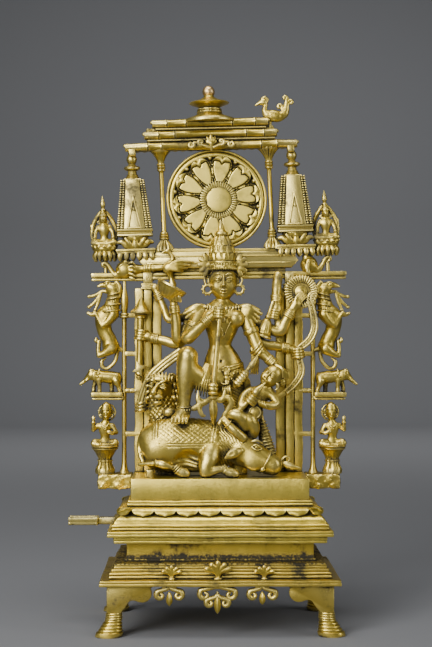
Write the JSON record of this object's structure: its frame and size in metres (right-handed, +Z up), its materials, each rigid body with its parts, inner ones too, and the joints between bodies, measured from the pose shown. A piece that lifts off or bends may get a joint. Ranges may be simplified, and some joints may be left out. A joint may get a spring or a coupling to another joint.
{
  "type": "durga figure",
  "caption": "Cast brass altar group of a many-armed goddess over a fallen buffalo demon, with lion, on a spouted lotus plinth and footed stand, before an openwork back frame.",
  "frame": {"origin": "on the floor under the feet, at the middle of the overall box in plan; the stand's own middle lies 4 mm to the right of it because the spout reaches out on the left", "axes": "+Z up, the group faces -Y, +X to the viewer's right"},
  "size_m": [0.292, 0.147, 0.5419],
  "materials": {
    "stand_brass": "aged cast brass, olive to brown, dark in the mouldings, worn bright on the edges",
    "plinth_brass": "aged cast brass, worn bright on the flat faces, dark line in each moulding",
    "frame_brass": "aged cast brass, rough from the mould, blackened in the recesses",
    "figure_brass": "aged cast brass, polished by handling, black-brown in the carved lines"
  },
  "bodies": {
    "root": {"stand": "stand_brass", "plinth": "plinth_brass", "back_frame": "frame_brass", "durga_group": "figure_brass"}
  },
  "joints": []
}
